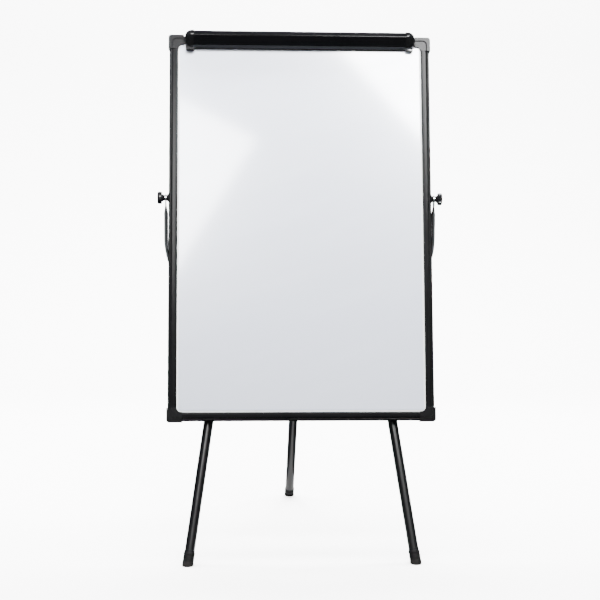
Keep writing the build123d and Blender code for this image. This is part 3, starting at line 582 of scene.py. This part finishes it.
# ---- Clamp bar -------------------------------------------------------------------------
# Curved aluminium extrusion with a gloss black lacquer, turning on the rod in its back edge.
# The flat face has a ridge above and below, and the lip below carries the grip strip.
lacquer, place = finish("gloss black lacquer", Specular_IOR_Level=0.13, Coat_Roughness=0.05)
flat = place.turned((LEAN, 0.0, 0.0))
drawn_lines = flat.turned((0, 0, 0), (0.01, 1.0, 1.0)).noise(700.0, 3.0)
specks = place.noise(1100.0, 2.0).rise(0.68, 0.76)
smear = place.noise(13.0, 5.0, 0.6)
drive(
    lacquer,
    Base_Color=(specks * 0.7 + smear * 0.3).tint((0.0015, 0.0015, 0.002), (0.008, 0.008, 0.0085)),
    Roughness=0.1 + smear * 0.1 + specks * 0.1,
    Coat_Weight=0.12 - smear * 0.06,
    Normal=(drawn_lines * 0.5 + specks * 0.3).bump(0.00001, 0.3),
)
dress(lacquer, "clamp_bar", edge=0.0003)

# ---- Clamp end caps --------------------------------------------------------------------
# Domed gloss black end caps, moulded in the same phenolic as the knobs.
# Each has a plain rim at the seam, a fine groove and a small foot that meets the board.
BAR_HALF = 0.243
CAP_LONG = 0.0206
CAP_HEART = (6.0, -11.2)
cap_outline = [
    (0.8, -29.6),
    (8.6, -30.2),
    (16.8, -26.2),
    (28.2, -5.6),
    (27.0, 2.2),
    (21.4, 7.9),
    (14.0, 9.8),
    (4.0, 7.3),
    (0.8, 3.6),
]
CORNER_CUTS = 3
CUT_SHARE = 0.22
for _ in range(CORNER_CUTS):
    rounder = []
    for number, (w, v) in enumerate(cap_outline):
        next_w, next_v = cap_outline[(number + 1) % len(cap_outline)]
        for share in (CUT_SHARE, 1.0 - CUT_SHARE):
            rounder.append((w * (1.0 - share) + next_w * share, v * (1.0 - share) + next_v * share))
    cap_outline = rounder
RIM_END = 0.0036
DOME_SHARE = 0.99
DOME_POWER = 0.62
DOME_STEPS = 14
# out from the seam and share of the full outline: edge, rim, fine groove, dome
cap_rings = [(0.0, 0.985), (0.0004, 1.0), (0.0022, 1.0), (0.0025, 0.975), (0.0033, 0.972)]
cap_rings.append((RIM_END, DOME_SHARE))
for step in range(1, DOME_STEPS + 1):
    turn = math.radians(90 * step / DOME_STEPS)
    shrink = max(math.cos(turn), 0.0) ** DOME_POWER
    out = RIM_END + (CAP_LONG - RIM_END) * math.sin(turn)
    cap_rings.append((out, max(DOME_SHARE * shrink, 0.02)))
# middle and size of the cap's foot: out from the seam, up from the frame's top, forward
HEEL_AT = (0.009, -0.0300, 0.005)
HEEL_SIZE = (0.015, 0.008, 0.008)
HEEL_ROUND = 0.0016
for side, way in (("left", -1), ("right", 1)):
    rings = []
    for out, share in cap_rings:
        ring = []
        for w, v in cap_outline:
            w = CAP_HEART[0] + (w - CAP_HEART[0]) * share
            v = CAP_HEART[1] + (v - CAP_HEART[1]) * share
            ring.append(on_board(way * (BAR_HALF + out), FRAME_TALL + v / 1000, w / 1000))
        rings.append(ring)
    cap = loft("domed_cap_" + side, rings)
    heel = bmesh.new()
    heel.from_mesh(cap.data)
    block = bmesh.ops.create_cube(heel, size=1.0)["verts"]
    for corner in block:
        out, v, w = (at + size * part for at, size, part in zip(HEEL_AT, HEEL_SIZE, corner.co))
        corner.co = on_board(way * (BAR_HALF + out), FRAME_TALL + v, w)
    rims = list({edge for corner in block for edge in corner.link_edges})
    bmesh.ops.bevel(heel, geom=rims, offset=HEEL_ROUND, segments=4, affect="EDGES", profile=0.5)
    bmesh.ops.recalc_face_normals(heel, faces=heel.faces)
    heel.to_mesh(cap.data)
    heel.free()
    smooth(cap.data, 40)
    cap.data.materials.append(phenolic)
    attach(cap, "clamp")
    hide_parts("clamp_cap_" + side)

# ---- Grip strip ------------------------------------------------------------------------
# Soft black rubber strip in the bar's lip, which presses the paper to the board.
dress(rubber, "clamp_grip", edge=0.0003)

# ---- Floor, light and camera -----------------------------------------------------------
# A pale paper floor that curves up behind, softboxes in front for the gloss, others to light
# the board's face, the floor and the wall, and a dim glow at the floor under the rear leg.
FLOOR_HALF = 6.0
WALL_Y = 3.6
WALL_TOP = 6.0
COVE = 1.6
profile = [(-7.0, 0.0)]
for step in range(17):
    turn = math.radians(90 * step / 16)
    profile.append((WALL_Y - COVE + COVE * math.sin(turn), COVE - COVE * math.cos(turn)))
profile.append((WALL_Y, WALL_TOP))
corners = []
for y, z in profile:
    corners.append((-FLOOR_HALF, y, z))
    corners.append((FLOOR_HALF, y, z))
faces = []
for row in range(len(profile) - 1):
    faces.append((2 * row, 2 * row + 1, 2 * row + 3, 2 * row + 2))
cove_mesh = bpy.data.meshes.new("studio cove")
cove_mesh.from_pydata(corners, [], faces)
for face in cove_mesh.polygons:
    face.use_smooth = True
cove = bpy.data.objects.new("studio_cove", cove_mesh)
bpy.context.scene.collection.objects.link(cove)
pale, place = finish("pale studio paper", Specular_IOR_Level=0.2)
mottle = place.noise(2.0, 4.0)
paper = mottle.tint((0.83, 0.83, 0.83), (0.86, 0.86, 0.86))
drive(pale, Base_Color=paper, Roughness=0.75 + mottle * 0.1)
cove_mesh.materials.append(pale)
cove.visible_glossy = False
cove.visible_diffuse = False

world = bpy.data.worlds.new("studio air")
world.use_nodes = True
world.node_tree.nodes["Background"].inputs["Color"].default_value = (0.94, 0.96, 1.0, 1.0)
world.node_tree.nodes["Background"].inputs["Strength"].default_value = 0.12
bpy.context.scene.world = world


def softbox(name, at, aim, width, height, watts, lean=0.0, mirrored=True, washing=True):
    """Rectangular area light at a point, facing another, turned in its own plane.

    A mirrored one shows in glossy surfaces; a washing one lights matt ones.
    """
    lamp = bpy.data.lights.new(name, "AREA")
    lamp.shape = "RECTANGLE"
    lamp.size = width
    lamp.size_y = height
    lamp.energy = watts
    holder = bpy.data.objects.new(name, lamp)
    aimed = (Vector(aim) - Vector(at)).to_track_quat("-Z", "Y").to_matrix().to_4x4()
    holder.matrix_world = Matrix.Translation(at) @ aimed @ Matrix.Rotation(math.radians(lean), 4, "Z")
    holder.visible_camera = False
    holder.visible_glossy = mirrored
    holder.visible_diffuse = washing
    bpy.context.scene.collection.objects.link(holder)


softbox("left softbox", (-0.65, -3.6, 2.325), (-0.65, 0.0, 2.325), 0.9, 0.95, 125, -29.6, washing=False)
softbox("right softbox", (0.95, -3.6, 3.1), (0.95, 0.0, 3.1), 1.6, 0.9, 400, -51.0, washing=False)
softbox("front softbox", (0.0, -1.0, 2.0), (0.0, -0.1, 1.75), 1.3, 0.1, 1.4, washing=False)
softbox("floor glow", (0.0, 0.12, 0.004), (0.0, 0.12, 1.0), 0.12, 0.9, 0.7, washing=False)
softbox("high front wash", (0.0, -1.4, 2.3), (0.0, -0.15, 1.25), 1.6, 0.5, 160, mirrored=False)
softbox("floor softbox", (0.0, 0.9, 3.7), (0.0, 0.9, 0.0), 3.4, 3.0, 1700, mirrored=False)
softbox("left wall softbox", (-2.8, 0.9, 2.6), (-0.6, 3.6, 0.9), 1.6, 1.6, 550, mirrored=False)
softbox("right wall softbox", (2.8, 0.9, 2.6), (0.6, 3.6, 0.9), 1.6, 1.6, 550, mirrored=False)

# The camera stands a little left of the middle and below the board's centre.
YAW = math.radians(3.087)
PITCH = math.radians(5.153)
ROLL = math.radians(0.337)
EYE = (-0.1598, -3.1269, 0.8404)
ahead = Vector((math.cos(PITCH) * math.sin(YAW), math.cos(PITCH) * math.cos(YAW), -math.sin(PITCH)))
level = Vector((math.cos(YAW), -math.sin(YAW), 0.0))
above = level.cross(ahead)
across = level * math.cos(ROLL) + above * math.sin(ROLL)
upward = above * math.cos(ROLL) - level * math.sin(ROLL)
lens = bpy.data.cameras.new("eye")
lens.sensor_width = 36.0
lens.lens = 78.0
eye = bpy.data.objects.new("eye", lens)
facing_out = Matrix((across, upward, -ahead)).transposed().to_4x4()
eye.matrix_world = Matrix.Translation(EYE) @ facing_out
bpy.context.scene.collection.objects.link(eye)
bpy.context.scene.camera = eye
